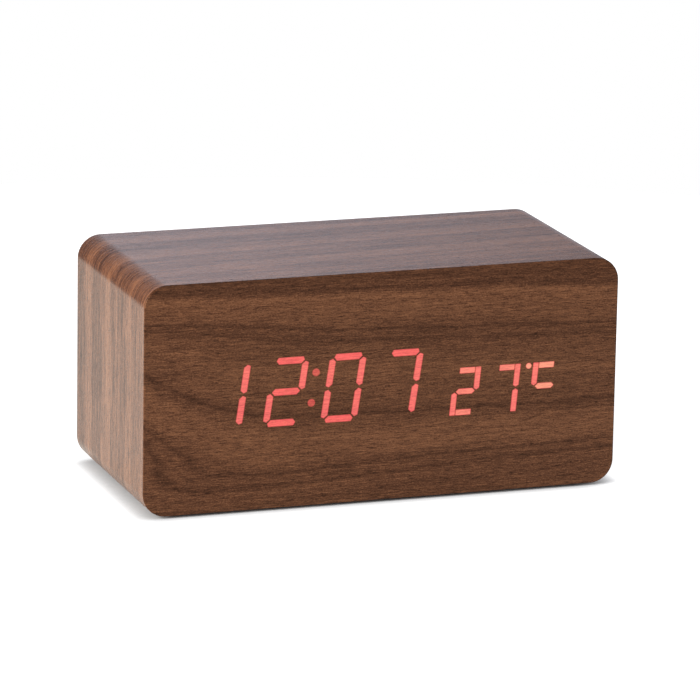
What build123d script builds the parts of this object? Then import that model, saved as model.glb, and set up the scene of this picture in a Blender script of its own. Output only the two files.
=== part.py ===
from build123d import *
import os
from math import radians, tan

# Desk clock with a hidden LED display, in millimetres.
# +Z is up, the front faces -Y, and the origin is under the middle of the clock at the surface it stands on.

# ---------------------------------------------------------------- wooden case
case_width = 150.0
case_depth = 70.0
case_height = 70.5  # without the feet
corner_radius = 7.2  # outer corners of the veneered sleeve
veneer_thickness = 0.6
veneer_arris = 0.25  # rounding of the veneer's outer edges
veneer_seam = 0.15  # butt joint of the wrapped veneer, under the base
sleeve_wall = 6.0  # board under the veneer
sleeve_inner_radius = 1.5
glue_gap = 0.1
front_board_thickness = 5.0
rear_board_thickness = 7.0
foot_diameter = 9.0
foot_thickness = 0.8
foot_inset = 16.0  # from the case's sides to a foot's centre

# ---------------------------------------------------------------- LED display
# Widths, heights and gaps are between the centre lines of the bars, measured at a digit's middle height.
display_left_margin = 21.3  # from the case's left side to the first digit
display_right_margin = 19.8  # from the last digit to the case's right side
group_gap = 12.5  # between the time and the small digits
large_digit_gap = 8.58
large_digit_height = 18.95
large_stroke = 2.0
large_slant = 8.3  # degrees
large_digit_lift = 0.5  # middle of the large digits above the case's centre
small_digit_gap = 5.85
small_digit_width = 6.9
small_digit_height = 12.95
small_stroke = 1.75
small_slant = 5.2
small_digit_drop = 3.35  # middle of the small digits below the case's centre
bar_tip_gap = 0.4  # from the crossing of two centre lines to a bar's tip
small_upright_tip_gap = 0.25  # the same, for the small digits' upright bars
bar_outer_cut = 0.85  # the same, to the bar's outer corner
bar_inner_cut = 1.3  # the same, to the bar's inner corner
bar_butt_gap = 0.15  # between bars that meet squarely in the small digits
bar_rounding = 0.25
colon_shift = -0.45  # from midway between its neighbours
colon_lift = 0.65  # above the large digits' middle
colon_dot_diameter = 2.3
colon_dot_spacing = 9.3
degree_dot_diameter = 1.8
degree_dot_room = 1.45  # from the degree dot's centre to the upright bar beside it
light_guide_length = 4.0
light_guide_play = 0.04
mask_border = 2.0  # from the outermost bars to the mask's edge
mask_corner_radius = 1.5
mask_play = 0.1
display_board_border = 6.5  # from the mask's edge to the board's edge
display_screw_inset = 3.2  # from the board's edges to a screw

# ---------------------------------------------------------------- circuit boards and their parts
board_thickness = 1.6
board_corner_radius = 1.5
led_length = 1.6
led_width = 0.8
led_height = 0.6
chip_length = 15.4
chip_width = 7.5
chip_height = 2.3
chip_leg_pitch = 1.27
chip_leg_count = 12  # along each side
chip_leg_width = 0.4
chip_leg_reach = 1.4
chip_leg_height = 1.0
chip_clearance = 0.25  # under the chip's body
driver_pitch = 30.0  # from the ribbon's connector to the first driver chip, and on to the second
header_length = 15.0
header_width = 6.0
header_height = 6.0
ribbon_width = 12.7
ribbon_thickness = 0.9
ribbon_lead_out = 9.0  # to the first bend at each connector
ribbon_sag = 10.0
capacitor_diameter = 6.3
capacitor_height = 7.7
crystal_diameter = 2.0
crystal_length = 6.0
resistor_length = 2.0
resistor_width = 1.25
resistor_height = 0.5
resistor_pitch = 3.2
resistor_count = 6
part_gap = 1.2  # between neighbouring parts on a board

# ---------------------------------------------------------------- screws
screw_head_diameter = 4.0
screw_head_height = 1.3
screw_diameter = 2.2
screw_recess = 0.6
screw_recess_span = 2.2
screw_recess_width = 0.5
screw_play = 0.1  # between a screw and its hole, on the radius
cover_screw_length = 4.6
board_screw_length = 5.0

# ---------------------------------------------------------------- rear cover
cover_thickness = 2.2
cover_recess = 1.5  # from the clock's rear face to the cover
cover_corner_radius = 4.0
cover_ledge = 6.0  # how far the cover overlaps the rear board's opening
opening_corner_radius = 1.5
cover_gap = 0.3
cover_edge_rounding = 0.4
opening_play = 1.0  # between the moulded tray or the control board and the opening's edge
tray_to_board = 2.0

# ---------------------------------------------------------------- battery compartment
cell_count = 3
cell_diameter = 10.5
cell_length = 44.5
cell_nub_diameter = 3.8
cell_nub_height = 0.8
cell_edge_rounding = 0.5
cell_gap = 0.5  # between neighbouring cells
cell_play = 0.3  # to the tray's floor and sides
cell_to_door = 0.4
tray_wall = 1.4
contact_thickness = 0.4
contact_span = 8.6
contact_play = 0.1
lug_width = 3.0
lug_length = 3.0  # beyond the tray's floor
spring_room = 4.4  # for a compressed spring
spring_wire = 0.5
spring_base_radius = 3.4
spring_tip_radius = 2.4  # at the cell
spring_quarter_turns = 13

# ---------------------------------------------------------------- battery door
door_gap = 0.3
door_seat = 0.8  # how far the door rests on the tray's end walls
door_play = 0.1  # between the door and that seat
tab_width = 6.0
tab_thickness = 1.1
tab_reach = 1.5  # below the door's lower edge
tab_step = 1.3  # how far the tab's root runs up the door
tab_share = 0.3  # place of each tab, as a share of the door's width from its middle
tab_play = 0.2
latch_width = 12.0
latch_thickness = 1.1
latch_depth = 1.6
latch_inset = 0.4
latch_bump = 0.2
grip_radius = 6.0
grip_depth = 0.9

# ---------------------------------------------------------------- controls
control_board_width = 44.0
control_board_height = 35.0
board_standoff = 6.3  # from the cover to the control board
boss_diameter = 5.0
boss_inset = 3.6
boss_pilot_depth = 4.4
button_diameter = 7.0
button_travel = 0.5
button_proud = 1.0
button_edge_rounding = 0.4
button_flange_diameter = 9.0
button_flange_thickness = 1.0
button_flange_play = 0.1
button_stem_diameter = 4.0
button_hole_gap = 0.3
button_pitch = 12.5
button_lift = 7.0  # above the cover's centre
symbol_side = 2.6
symbol_bar = 0.65
symbol_depth = 0.2
tact_side = 6.0
tact_height = 3.5
tact_plunger_diameter = 3.4
tact_plunger_height = 0.8
tact_plunger_guide = 1.2
tact_bore_play = 0.1
tact_floor_gap = 0.5  # left under the plunger when the button is pressed
port_drop = 8.0  # lower row of controls, below the cover's centre
port_spread = 12.5
usb_width = 7.6
usb_height = 2.9
usb_shell_wall = 0.3
usb_inset = 0.3  # of the socket's mouth behind the cover's outer face
usb_window_gap = 0.3
usb_key_chamfer = 0.9
usb_base_length = 3.0
usb_insert_play = 0.1
usb_tongue_width = 4.4
usb_tongue_thickness = 0.7
usb_tongue_inset = 1.2
usb_contact_count = 5
usb_contact_pitch = 0.65
usb_contact_width = 0.35
usb_contact_thickness = 0.12
usb_contact_inset = 2.2
slider_body_length = 8.6
slider_body_width = 3.8
slider_body_height = 3.6
slider_travel = 2.0
slider_length = 2.4
slider_width = 1.8
slider_proud = 0.7
slider_depth = 1.2  # of its foot inside the switch
slider_play = 0.15
slider_slot_gap = 0.3
slider_rounding = 0.3
buzzer_diameter = 9.0
buzzer_height = 5.2
buzzer_mouth = 1.6
microphone_diameter = 4.5
microphone_height = 4.6
microphone_mouth = 2.2
microphone_mouth_depth = 0.2
sound_hole_diameter = 1.2
sound_hole_spread = 2.4
sensor_bead_radius = 1.1
sensor_lead_diameter = 0.5
sensor_lead_spacing = 1.3
sensor_height = 4.8
vent_length = 6.0
vent_width = 1.0
vent_pitch = 2.2
vent_count = 3
sensor_lift = -0.8  # of the microphone and the temperature sensor, from the cover's centre
sensor_spread = 6.4

# ---------------------------------------------------------------- battery leads
lead_diameter = 1.1
lead_drop = 8.2  # how far a lead runs forward of its lug
lead_approach = 7.4  # its last straight run, square to the control board
lead_pad_spread = 4.0  # of the leads' pads on the control board, above and below its middle
bend_share = 0.45  # of the shorter run beside a bend that the bend may take up

# ---------------------------------------------------------------- places worked out from the sizes above
front_y = -case_depth / 2
rear_y = case_depth / 2
core_front_y = front_y + veneer_thickness
core_rear_y = rear_y - veneer_thickness
base_z = foot_thickness
centre_z = base_z + case_height / 2
shell_thickness = veneer_thickness + sleeve_wall
inner_width = case_width - 2 * shell_thickness
inner_height = case_height - 2 * shell_thickness
front_board_rear_y = core_front_y + front_board_thickness
display_board_rear_y = front_board_rear_y + board_thickness

small_digit_pitch = small_digit_width + small_digit_gap
time_left_x = -case_width / 2 + display_left_margin
small_right_x = case_width / 2 - display_right_margin
time_right_x = small_right_x - 3 * small_digit_width - 2 * small_digit_gap - group_gap
large_digit_width = (time_right_x - time_left_x - 3 * large_digit_gap) / 4
large_digit_pitch = large_digit_width + large_digit_gap
large_xs = [time_left_x + large_digit_width / 2 + i * large_digit_pitch for i in range(4)]
small_xs = [small_right_x - small_digit_width / 2 - i * small_digit_pitch for i in (2, 1, 0)]
colon_x = (large_xs[1] + large_xs[2]) / 2 + colon_shift

cover_outer_y = rear_y - cover_recess
cover_inner_y = cover_outer_y - cover_thickness
cell_y = cover_inner_y - cell_to_door - cell_diameter / 2
cell_pitch = cell_diameter + cell_gap
cell_zs = [(cell_count - 1) / 2 * cell_pitch - i * cell_pitch for i in range(cell_count)]
tray_length = cell_length + spring_room + 2 * contact_thickness + 2 * contact_play
tray_height = (cell_count - 1) * cell_pitch + cell_diameter + 2 * cell_play
tray_floor_y = cell_y - cell_diameter / 2 - cell_play
tray_front_y = tray_floor_y - tray_wall
tray_outer_length = tray_length + 2 * tray_wall
tray_outer_height = tray_height + 2 * tray_wall

opening_width = tray_outer_length + tray_to_board + control_board_width + 2 * opening_play
opening_height = max(tray_outer_height, control_board_height) + 2 * opening_play
cover_width = opening_width + 2 * cover_ledge
cover_height = opening_height + 2 * cover_ledge
pocket_size = (cover_width + 2 * cover_gap, cover_height + 2 * cover_gap, cover_corner_radius + cover_gap)
panel_size = (inner_width - 2 * glue_gap, inner_height - 2 * glue_gap, sleeve_inner_radius - glue_gap)
tray_x = -opening_width / 2 + opening_play + tray_outer_length / 2
tray_left = tray_x - tray_length / 2
tray_right = tray_x + tray_length / 2
control_x = opening_width / 2 - opening_play - control_board_width / 2
control_board_rear_y = cover_inner_y - board_standoff
control_board_front_y = control_board_rear_y - board_thickness


def upright(y):
    """An upright plane at depth y that faces the front, centred on the case: its x is +X and its y is +Z."""
    return Plane(origin=(0, y, centre_z), x_dir=(1, 0, 0), z_dir=(0, -1, 0))


def save(piece, name):
    """Labels a finished piece and writes it as parts/NAME.step."""
    piece.part.label = name
    export_step(piece.part, f"parts/{name}.step")


def corners_of(width, height, inset, x=0.0, y=0.0):
    """The four points that lie inset from the corners of a rectangle about (x, y)."""
    across = width / 2 - inset
    along = height / 2 - inset
    return [(x + i * across, y + j * along) for i in (-1, 1) for j in (-1, 1)]


def bend_radii(points):
    """The radius of each bend of a cable's route, as large as the runs beside it allow."""
    radii = []
    for before, corner, after in zip(points, points[1:], points[2:]):
        run_in = Vector(*corner) - Vector(*before)
        run_out = Vector(*after) - Vector(*corner)
        half_turn = radians(run_in.get_angle(run_out)) / 2
        radii.append(bend_share * min(run_in.length, run_out.length) / tan(half_turn))
    return radii


def pan_screws(spots, head_y, length, towards_front):
    """Pan-head screws at the spots of an upright plane, with their heads seated at depth head_y."""
    seat = upright(head_y)
    if not towards_front:
        seat = Plane(origin=seat.origin, x_dir=(-1, 0, 0), z_dir=(0, 1, 0))
        spots = [(-x, y) for x, y in spots]
    with BuildPart() as screws:
        with BuildSketch(seat):
            with Locations(*spots):
                Circle(screw_diameter / 2)
        extrude(amount=length)
        with BuildSketch(seat):
            with Locations(*spots):
                Circle(screw_head_diameter / 2)
        extrude(amount=-screw_head_height)
        with BuildSketch(seat.offset(-screw_head_height)):
            with Locations(*spots):
                Rectangle(screw_recess_span, screw_recess_width)
                Rectangle(screw_recess_width, screw_recess_span)
        extrude(amount=screw_recess, mode=Mode.SUBTRACT)
    return screws


os.makedirs("parts", exist_ok=True)

# ================================================================ wooden case
# A sleeve of board with a veneer wrapped round it, closed by a front and a rear board under veneer faces.
core_width = case_width - 2 * veneer_thickness
core_height = case_height - 2 * veneer_thickness
core_radius = corner_radius - veneer_thickness

with BuildPart() as case_sleeve:
    with BuildSketch(upright(core_rear_y)):
        RectangleRounded(core_width, core_height, core_radius)
        RectangleRounded(inner_width, inner_height, sleeve_inner_radius, mode=Mode.SUBTRACT)
    extrude(amount=core_rear_y - core_front_y)
save(case_sleeve, "case_sleeve")

with BuildPart() as veneer_wrap:
    with BuildSketch(upright(core_rear_y)):
        RectangleRounded(case_width, case_height, corner_radius)
        RectangleRounded(core_width, core_height, core_radius, mode=Mode.SUBTRACT)
        with Locations((0, -case_height / 2)):
            Rectangle(veneer_seam, 4 * veneer_thickness, mode=Mode.SUBTRACT)
    extrude(amount=core_rear_y - core_front_y)
save(veneer_wrap, "veneer_wrap")

with BuildPart() as front_veneer:
    with BuildSketch(upright(core_front_y)):
        RectangleRounded(case_width, case_height, corner_radius)
    extrude(amount=veneer_thickness)
    fillet(front_veneer.faces().sort_by(Axis.Y)[0].edges(), veneer_arris)
save(front_veneer, "front_veneer")

with BuildPart() as rear_veneer:
    with BuildSketch(upright(rear_y)):
        RectangleRounded(case_width, case_height, corner_radius)
    extrude(amount=veneer_thickness)
    fillet(rear_veneer.faces().sort_by(Axis.Y)[-1].edges(), veneer_arris)
    with BuildSketch(upright(rear_y)):
        RectangleRounded(*pocket_size)
    extrude(amount=veneer_thickness, mode=Mode.SUBTRACT)
save(rear_veneer, "rear_veneer")

with BuildPart() as feet:
    with BuildSketch(Plane.XY):
        with Locations(*corners_of(case_width, case_depth, foot_inset)):
            Circle(foot_diameter / 2)
    extrude(amount=foot_thickness)
save(feet, "feet")

# ================================================================ display
# Every bar is a slanted hexagon, cut back where it meets its neighbours.
all_round = (bar_outer_cut, bar_tip_gap, bar_inner_cut)
pointed = (bar_inner_cut, bar_tip_gap, bar_inner_cut)
small_point = (bar_outer_cut, small_upright_tip_gap, bar_outer_cut)
squared_off = (-small_stroke / 2,) * 3
butted = (small_stroke / 2 + bar_butt_gap,) * 3
large_face = {
    "width": large_digit_width,
    "height": large_digit_height,
    "stroke": large_stroke,
    "slant": large_slant,
    "upright_end": all_round,
    "level_end": all_round,
    "upright_middle": all_round,
    "middle_bar": pointed,
}
small_face = {
    "width": small_digit_width,
    "height": small_digit_height,
    "stroke": small_stroke,
    "slant": small_slant,
    "upright_end": squared_off,
    "level_end": butted,
    "upright_middle": small_point,
    "middle_bar": pointed,
}


def bar_corners(start, end, stroke, start_cut, end_cut):
    """A bar's corner points. Each cut is (outer, tip, inner), and the bar's outer side is on its left."""
    along = (Vector(*end) - Vector(*start)).normalized()
    left = along.rotate(Axis.Z, 90) * (stroke / 2)
    points = []
    for (outer, tip, inner), place, way, sides in (
        (start_cut, Vector(*start), along, (1, 0, -1)),
        (end_cut, Vector(*end), -along, (-1, 0, 1)),
    ):
        cuts = (outer, tip, inner) if sides[0] > 0 else (inner, tip, outer)
        ring = [place + way * cut + left * side for cut, side in zip(cuts, sides)]
        flat = len({outer, tip, inner}) == 1
        points += [ring[0], ring[2]] if flat else ring
    return points


def digit_bars(face, x, z, grow=0.0):
    """Corner points of a digit's seven bars, a to g, about the point (x, z), each grown on every side."""
    w, h = face["width"] / 2, face["height"] / 2
    lean = tan(radians(face["slant"]))
    ends = {
        "a": ((-w, h), (w, h), "level_end", "level_end"),
        "b": ((w, h), (w, 0), "upright_end", "upright_middle"),
        "c": ((w, 0), (w, -h), "upright_middle", "upright_end"),
        "d": ((w, -h), (-w, -h), "level_end", "level_end"),
        "e": ((-w, -h), (-w, 0), "upright_end", "upright_middle"),
        "f": ((-w, 0), (-w, h), "upright_middle", "upright_end"),
        "g": ((-w, 0), (w, 0), "middle_bar", "middle_bar"),
    }
    bars = {}
    for letter, (start, end, first, last) in ends.items():
        cuts = [tuple(cut - grow for cut in face[kind]) for kind in (first, last)]
        flat = bar_corners(start, end, face["stroke"] + 2 * grow, *cuts)
        bars[letter] = [(x + p.X + p.Y * lean, z + p.Y) for p in flat]
    return bars


def bars_sketch(outlines, rounding):
    """A sketch of the given outlines with rounded corners."""
    with BuildSketch() as bars:
        for outline in outlines:
            with BuildLine():
                Polyline(*outline, close=True)
            make_face()
        fillet(bars.vertices(), rounding)
    return bars.sketch


large_z = large_digit_lift
small_z = -small_digit_drop
large_lean = tan(radians(large_slant))
small_lean = tan(radians(small_slant))
digits = {
    "hour_tens": (large_face, large_xs[0], large_z),
    "hour_units": (large_face, large_xs[1], large_z),
    "minute_tens": (large_face, large_xs[2], large_z),
    "minute_units": (large_face, large_xs[3], large_z),
    "small_tens": (small_face, small_xs[0], small_z),
    "small_units": (small_face, small_xs[1], small_z),
    "small_sign": (small_face, small_xs[2], small_z),
}
colon_rises = [colon_lift + side * colon_dot_spacing / 2 for side in (1, -1)]
colon_dots = [(colon_x + rise * large_lean, large_z + rise) for rise in colon_rises]
small_top = small_digit_height / 2
degree_dot = (
    small_xs[2] - small_digit_width / 2 + small_top * small_lean - small_stroke / 2 - degree_dot_room,
    small_z + small_top,
)
mask_left = time_left_x - large_digit_height / 2 * large_lean - large_stroke / 2 - mask_border
mask_right = small_right_x + small_top * small_lean + small_stroke / 2 + mask_border
mask_top = large_z + large_digit_height / 2 + large_stroke / 2 + mask_border
mask_bottom = -max(
    large_digit_height / 2 - large_z + large_stroke / 2,
    small_top - small_z + small_stroke / 2,
) - mask_border
mask_width = mask_right - mask_left
mask_height = mask_top - mask_bottom
mask_centre = ((mask_left + mask_right) / 2, (mask_top + mask_bottom) / 2)
display_board_width = mask_width + 2 * display_board_border
display_board_height = mask_height + 2 * display_board_border
display_screws_at = corners_of(display_board_width, display_board_height, display_screw_inset, *mask_centre)

with BuildPart() as front_board:
    with BuildSketch(upright(front_board_rear_y)):
        RectangleRounded(*panel_size)
        with Locations(mask_centre):
            RectangleRounded(
                mask_width + 2 * mask_play,
                mask_height + 2 * mask_play,
                mask_corner_radius + mask_play,
                mode=Mode.SUBTRACT,
            )
    extrude(amount=front_board_thickness)
    with BuildSketch(upright(front_board_rear_y)):
        with Locations(*display_screws_at):
            Circle(screw_diameter / 2 + screw_play)
    extrude(amount=board_screw_length - board_thickness + screw_play, mode=Mode.SUBTRACT)
save(front_board, "front_board")

with BuildPart() as segment_mask:
    with BuildSketch(upright(front_board_rear_y)):
        with Locations(mask_centre):
            RectangleRounded(mask_width, mask_height, mask_corner_radius)
        for digit_face, digit_x, digit_z in digits.values():
            wells = digit_bars(digit_face, digit_x, digit_z, light_guide_play)
            add(bars_sketch(wells.values(), bar_rounding + light_guide_play), mode=Mode.SUBTRACT)
        with Locations(*colon_dots):
            Circle(colon_dot_diameter / 2 + light_guide_play, mode=Mode.SUBTRACT)
        with Locations(degree_dot):
            Circle(degree_dot_diameter / 2 + light_guide_play, mode=Mode.SUBTRACT)
    extrude(amount=front_board_thickness)
save(segment_mask, "segment_mask")

guide_rear_y = core_front_y + light_guide_length
for digit_name, (digit_face, digit_x, digit_z) in digits.items():
    with BuildPart() as light_guides:
        with BuildSketch(upright(guide_rear_y)):
            add(bars_sketch(digit_bars(digit_face, digit_x, digit_z).values(), bar_rounding))
        extrude(amount=light_guide_length)
    save(light_guides, f"light_guides_{digit_name}")

with BuildPart() as light_guides_dots:
    with BuildSketch(upright(guide_rear_y)):
        with Locations(*colon_dots):
            Circle(colon_dot_diameter / 2)
        with Locations(degree_dot):
            Circle(degree_dot_diameter / 2)
    extrude(amount=light_guide_length)
save(light_guides_dots, "light_guides_dots")

with BuildPart() as display_board:
    with BuildSketch(upright(display_board_rear_y)):
        with Locations(mask_centre):
            RectangleRounded(display_board_width, display_board_height, board_corner_radius)
        with Locations(*display_screws_at):
            Circle(screw_diameter / 2 + screw_play, mode=Mode.SUBTRACT)
    extrude(amount=board_thickness)
save(display_board, "display_board")

# One LED stands in the middle of each bar, turned to run along it.
with BuildPart() as display_leds:
    with BuildSketch(upright(front_board_rear_y)):
        for digit_face, digit_x, digit_z in digits.values():
            for letter, outline in digit_bars(digit_face, digit_x, digit_z).items():
                middle = sum((Vector(*point) for point in outline), Vector()) / len(outline)
                turn = 0 if letter in "adg" else 90 - digit_face["slant"]
                with Locations(Location(middle, (0, 0, turn))):
                    Rectangle(led_length, led_width)
        with Locations(*colon_dots, degree_dot):
            Rectangle(led_width, led_width)
    extrude(amount=led_height)
save(display_leds, "display_leds")

display_screws = pan_screws(display_screws_at, display_board_rear_y, board_screw_length, True)
save(display_screws, "display_screws")

# Driver chips on the back of the display board, either side of the ribbon's connector.
driver_centres = [(control_x - driver_pitch, 0), (control_x - 2 * driver_pitch, 0)]
leg_offset = chip_width / 2 + chip_leg_reach / 2


def chips_on(board_plane, centres):
    """Chips with two rows of legs on a board's face; the plane faces away from the board."""
    with BuildPart() as chips:
        with BuildSketch(board_plane):
            with Locations(*centres):
                with GridLocations(chip_leg_pitch, 2 * leg_offset, chip_leg_count, 2):
                    Rectangle(chip_leg_width, chip_leg_reach)
        extrude(amount=chip_leg_height)
        with BuildSketch(board_plane.offset(chip_clearance)):
            with Locations(*centres):
                Rectangle(chip_length, chip_width)
        extrude(amount=chip_height)
    return chips


behind_display = Plane(upright(display_board_rear_y).origin, x_dir=(-1, 0, 0), z_dir=(0, 1, 0))
display_drivers = chips_on(behind_display, [(-x, z) for x, z in driver_centres])
save(display_drivers, "display_drivers")

# ================================================================ rear board and moulded rear cover
cover_screws_at = corners_of(cover_width, cover_height, cover_ledge / 2)

with BuildPart() as rear_board:
    with BuildSketch(upright(core_rear_y)):
        RectangleRounded(*panel_size)
    extrude(amount=rear_board_thickness)
    with BuildSketch(upright(core_rear_y)):
        RectangleRounded(*pocket_size)
    extrude(amount=core_rear_y - cover_inner_y, mode=Mode.SUBTRACT)
    with BuildSketch(upright(core_rear_y)):
        RectangleRounded(opening_width, opening_height, opening_corner_radius)
        with Locations(*cover_screws_at):
            Circle(screw_diameter / 2 + screw_play)
    extrude(amount=rear_board_thickness, mode=Mode.SUBTRACT)
save(rear_board, "rear_board")

button_centres = {
    "set": (control_x - button_pitch, button_lift),
    "up": (control_x, button_lift),
    "down": (control_x + button_pitch, button_lift),
}
usb_centre = (control_x - port_spread, -port_drop)
slider_rest = (control_x - slider_travel / 2, -port_drop)
slider_centre = (control_x, -port_drop)
slider_sweep = slider_length + slider_travel
buzzer_centre = (control_x + port_spread, -port_drop)
microphone_centre = (control_x - sensor_spread, sensor_lift)
sensor_centre = (control_x + sensor_spread, sensor_lift)
boss_spots = corners_of(control_board_width, control_board_height, boss_inset, control_x)
screw_seat_y = cover_outer_y - screw_head_height
door_opening_width = tray_length + 2 * door_seat
door_width = door_opening_width - 2 * door_gap
door_height = tray_height - 2 * door_gap
door_bottom = -door_height / 2
door_top = door_height / 2
tab_spots = [tray_x - door_width * tab_share, tray_x + door_width * tab_share]
door_inner_y = cover_inner_y + door_play
contact_left_x = tray_left + contact_play + contact_thickness
contact_right_x = tray_right - contact_play - contact_thickness
lug_right_x = contact_right_x + contact_thickness / 2
lug_left_x = contact_left_x - contact_thickness / 2
lug_spots = [(lug_right_x, cell_zs[0]), (lug_left_x, cell_zs[-1])]

with BuildPart() as rear_cover:
    with BuildSketch(upright(cover_outer_y)):
        RectangleRounded(cover_width, cover_height, cover_corner_radius)
    extrude(amount=cover_thickness)
    fillet(rear_cover.faces().sort_by(Axis.Y)[-1].edges(), cover_edge_rounding)
    # battery tray, moulded with the cover
    with BuildSketch(upright(cover_inner_y)):
        with Locations((tray_x, 0)):
            Rectangle(tray_outer_length, tray_outer_height)
    extrude(amount=cover_inner_y - tray_front_y)
    with BuildSketch(upright(cover_outer_y)):
        with Locations((tray_x, 0)):
            Rectangle(tray_length, tray_height)
    extrude(amount=cover_outer_y - tray_floor_y, mode=Mode.SUBTRACT)
    with BuildSketch(upright(cover_outer_y)):
        with Locations((tray_x, 0)):
            Rectangle(door_opening_width, tray_height)
    extrude(amount=cover_thickness, mode=Mode.SUBTRACT)
    # windows in the tray's lower wall, for the door's tabs
    with BuildSketch(upright(cover_inner_y)):
        for tab_x in tab_spots:
            with Locations((tab_x, -tray_height / 2)):
                Rectangle(tab_width + 2 * tab_play, 2 * tray_wall, align=(Align.CENTER, Align.CENTER))
    extrude(amount=tab_thickness + 3 * tab_play, mode=Mode.SUBTRACT)
    # slots in the tray's floor, for the contacts' solder lugs
    with BuildSketch(upright(tray_floor_y)):
        with Locations(*lug_spots):
            Rectangle(contact_thickness + 2 * contact_play, lug_width + 2 * contact_play)
    extrude(amount=tray_wall, mode=Mode.SUBTRACT)
    # bosses for the control board
    with BuildSketch(upright(cover_inner_y)):
        with Locations(*boss_spots):
            Circle(boss_diameter / 2)
    extrude(amount=board_standoff)
    with BuildSketch(upright(control_board_rear_y)):
        with Locations(*boss_spots):
            Circle(screw_diameter / 2 + screw_play)
    extrude(amount=-boss_pilot_depth, mode=Mode.SUBTRACT)
    # sunk seats for the cover's screws, and the holes of the screws and the controls
    with BuildSketch(upright(cover_outer_y)):
        with Locations(*cover_screws_at):
            Circle(screw_head_diameter / 2 + screw_play)
    extrude(amount=screw_head_height, mode=Mode.SUBTRACT)
    with BuildSketch(upright(cover_outer_y)):
        with Locations(*cover_screws_at):
            Circle(screw_diameter / 2 + screw_play)
        with Locations(*button_centres.values()):
            Circle(button_diameter / 2 + button_hole_gap)
        with Locations(usb_centre):
            Rectangle(usb_width + 2 * usb_window_gap, usb_height + 2 * usb_window_gap)
        with Locations(slider_centre):
            Rectangle(slider_sweep + 2 * slider_slot_gap, slider_width + 2 * slider_slot_gap)
        with Locations(microphone_centre, buzzer_centre):
            Circle(sound_hole_diameter / 2)
        with Locations(buzzer_centre):
            with PolarLocations(sound_hole_spread, 6):
                Circle(sound_hole_diameter / 2)
        with Locations(sensor_centre):
            with GridLocations(0, vent_pitch, 1, vent_count):
                SlotOverall(vent_length, vent_width)
    extrude(amount=cover_thickness, mode=Mode.SUBTRACT)
    # finger scoop above the door
    with BuildSketch(upright(cover_outer_y)):
        with Locations((tray_x, door_top)):
            Circle(grip_radius)
        with Locations((tray_x, 0)):
            Rectangle(door_opening_width, tray_height, mode=Mode.SUBTRACT)
    extrude(amount=grip_depth, mode=Mode.SUBTRACT)
save(rear_cover, "rear_cover")

cover_screws = pan_screws(cover_screws_at, screw_seat_y, cover_screw_length, True)
save(cover_screws, "cover_screws")

# ================================================================ battery door
# It turns about the lower outer edge of its plate. Two tabs hook behind the cover, and a lip
# snaps in at the top.
with BuildPart() as battery_door:
    with BuildSketch(upright(cover_outer_y)):
        with Locations((tray_x, 0)):
            Rectangle(door_width, door_height)
    extrude(amount=cover_outer_y - door_inner_y)
    with BuildSketch(upright(cover_outer_y)):
        with Locations((tray_x, door_top)):
            Circle(grip_radius)
        with Locations((tray_x, 0)):
            Rectangle(door_width, door_height, mode=Mode.INTERSECT)
    extrude(amount=grip_depth, mode=Mode.SUBTRACT)
    for tab_x in tab_spots:
        with BuildSketch(upright(door_inner_y)):
            with Locations((tab_x, door_bottom)):
                Rectangle(tab_width, tab_step, align=(Align.CENTER, Align.MIN))
        extrude(amount=door_inner_y - cover_inner_y + tab_play + tab_thickness)
        with BuildSketch(upright(cover_inner_y - tab_play)):
            with Locations((tab_x, door_bottom)):
                Rectangle(tab_width, tab_reach, align=(Align.CENTER, Align.MAX))
        extrude(amount=tab_thickness)
    with BuildSketch(upright(door_inner_y)):
        with Locations((tray_x, door_top - latch_inset)):
            Rectangle(latch_width, latch_thickness, align=(Align.CENTER, Align.MAX))
    extrude(amount=latch_depth)
    with BuildSketch(Plane.YZ.offset(tray_x)):
        with Locations((door_inner_y - latch_depth + latch_bump, centre_z + door_top - latch_inset)):
            Circle(latch_bump)
    extrude(amount=latch_width / 2, both=True)
save(battery_door, "battery_door")

# ================================================================ cells and contacts
tip_gap = contact_play

for number, cell_z in enumerate(cell_zs):
    towards_right = 1 if number % 2 == 0 else -1
    contact_x = contact_right_x if towards_right > 0 else contact_left_x
    tip_x = contact_x - towards_right * tip_gap
    can = Plane(origin=(tip_x, cell_y, centre_z + cell_z), x_dir=(0, 1, 0), z_dir=(-towards_right, 0, 0))
    with BuildPart() as battery_cell:
        with BuildSketch(can.offset(cell_nub_height)):
            Circle(cell_diameter / 2)
        extrude(amount=cell_length - cell_nub_height)
        fillet(battery_cell.edges().filter_by(GeomType.CIRCLE), cell_edge_rounding)
        with BuildSketch(can):
            Circle(cell_nub_diameter / 2)
        extrude(amount=cell_nub_height)
    save(battery_cell, f"battery_cell_{number + 1}")

# Flat plates join neighbouring cells in series; the first and last have a lug through the tray's floor.
with BuildPart() as battery_contacts:
    for number in range(cell_count + 1):
        at_right = number % 2 == 0
        joined = [cell_zs[i] for i in (number - 1, number) if 0 <= i < cell_count]
        plate_height = max(joined) - min(joined) + contact_span
        plate_z = (max(joined) + min(joined)) / 2
        plate_x = lug_right_x if at_right else lug_left_x
        with BuildSketch(upright(cell_y + contact_span / 2)):
            with Locations((plate_x, plate_z)):
                Rectangle(contact_thickness, plate_height)
        extrude(amount=contact_span)
        if len(joined) == 1:
            with BuildSketch(upright(cell_y)):
                with Locations((plate_x, plate_z)):
                    Rectangle(contact_thickness, lug_width)
            extrude(amount=cell_y - tray_front_y + lug_length)
save(battery_contacts, "battery_contacts")

# Conical springs press on the flat end of each cell. Their line is a chain of quarter turns.
spring_length = spring_room - 2 * tip_gap - spring_wire


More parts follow.
